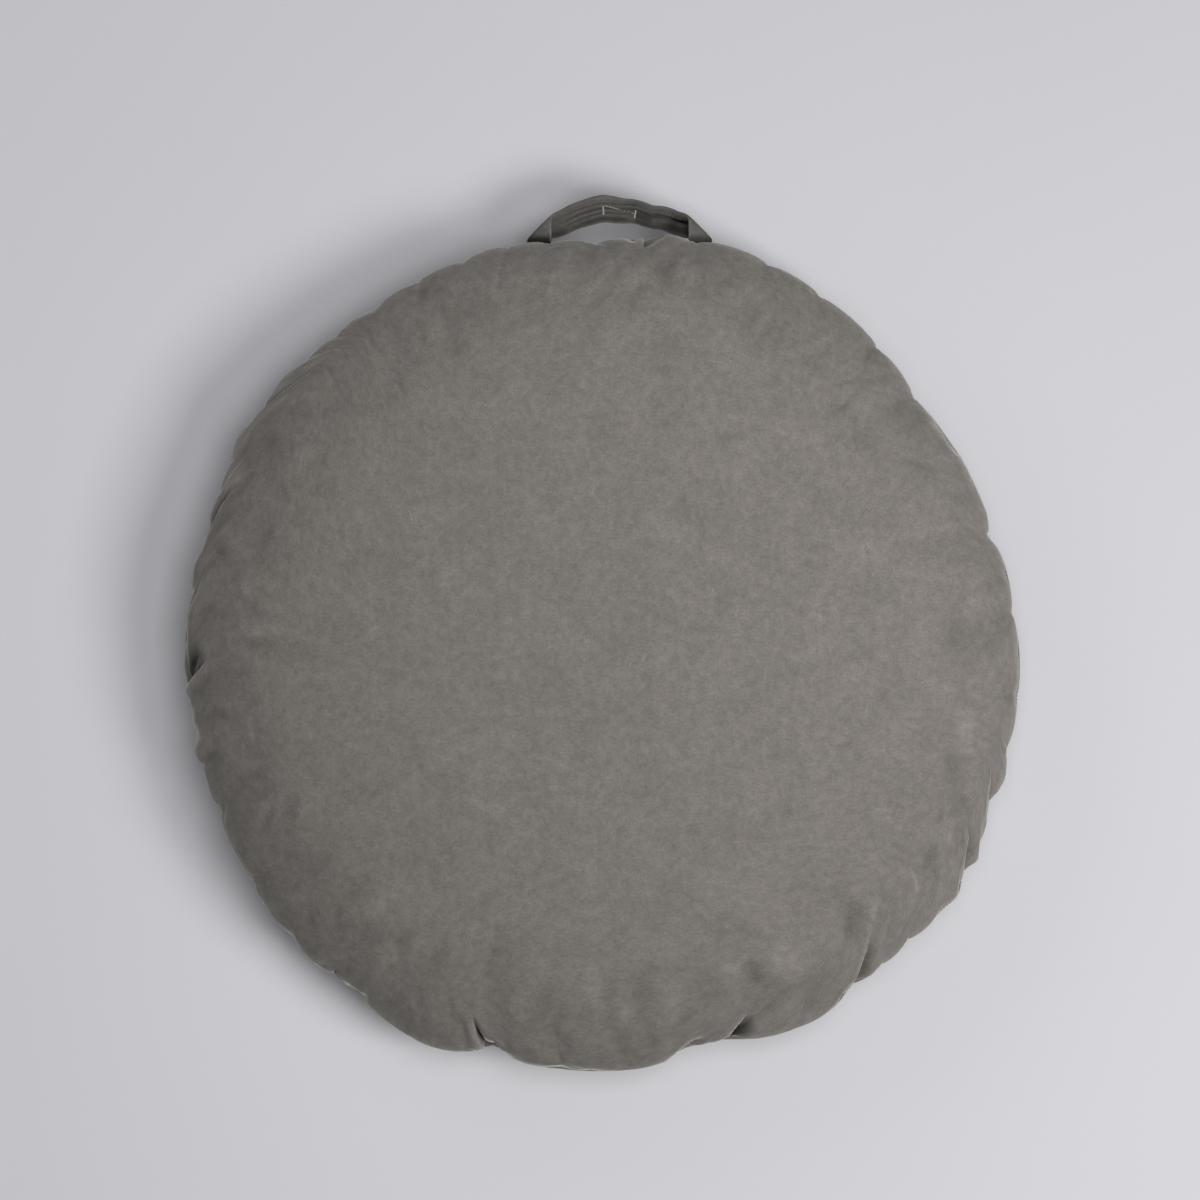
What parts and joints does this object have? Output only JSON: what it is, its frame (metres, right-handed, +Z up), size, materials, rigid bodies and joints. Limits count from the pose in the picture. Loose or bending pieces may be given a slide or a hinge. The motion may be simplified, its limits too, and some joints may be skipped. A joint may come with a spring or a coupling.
{
  "type": "round floor pouf with a strap handle",
  "caption": "Round filled velvet floor cushion of two panels sewn edge to edge, with a gathered rim seam and a folded strap handle.",
  "frame": {"origin": "centre of the flat patch that the pouf rests on", "axes": "+Z up out of the top panel, +Y towards the strap handle, +X to the right of the handle seen from above"},
  "size_m": [0.7027, 0.7345, 0.165],
  "materials": {
    "velvet": "washed cotton velvet, grey-taupe, short mottled nap with a faint weave under it",
    "strap_velvet": "the same washed velvet, folded lengthwise into a strap and top-stitched, a little darker"
  },
  "bodies": {
    "root": {"pouf_body": "velvet", "strap_handle": "strap_velvet"}
  },
  "joints": []
}
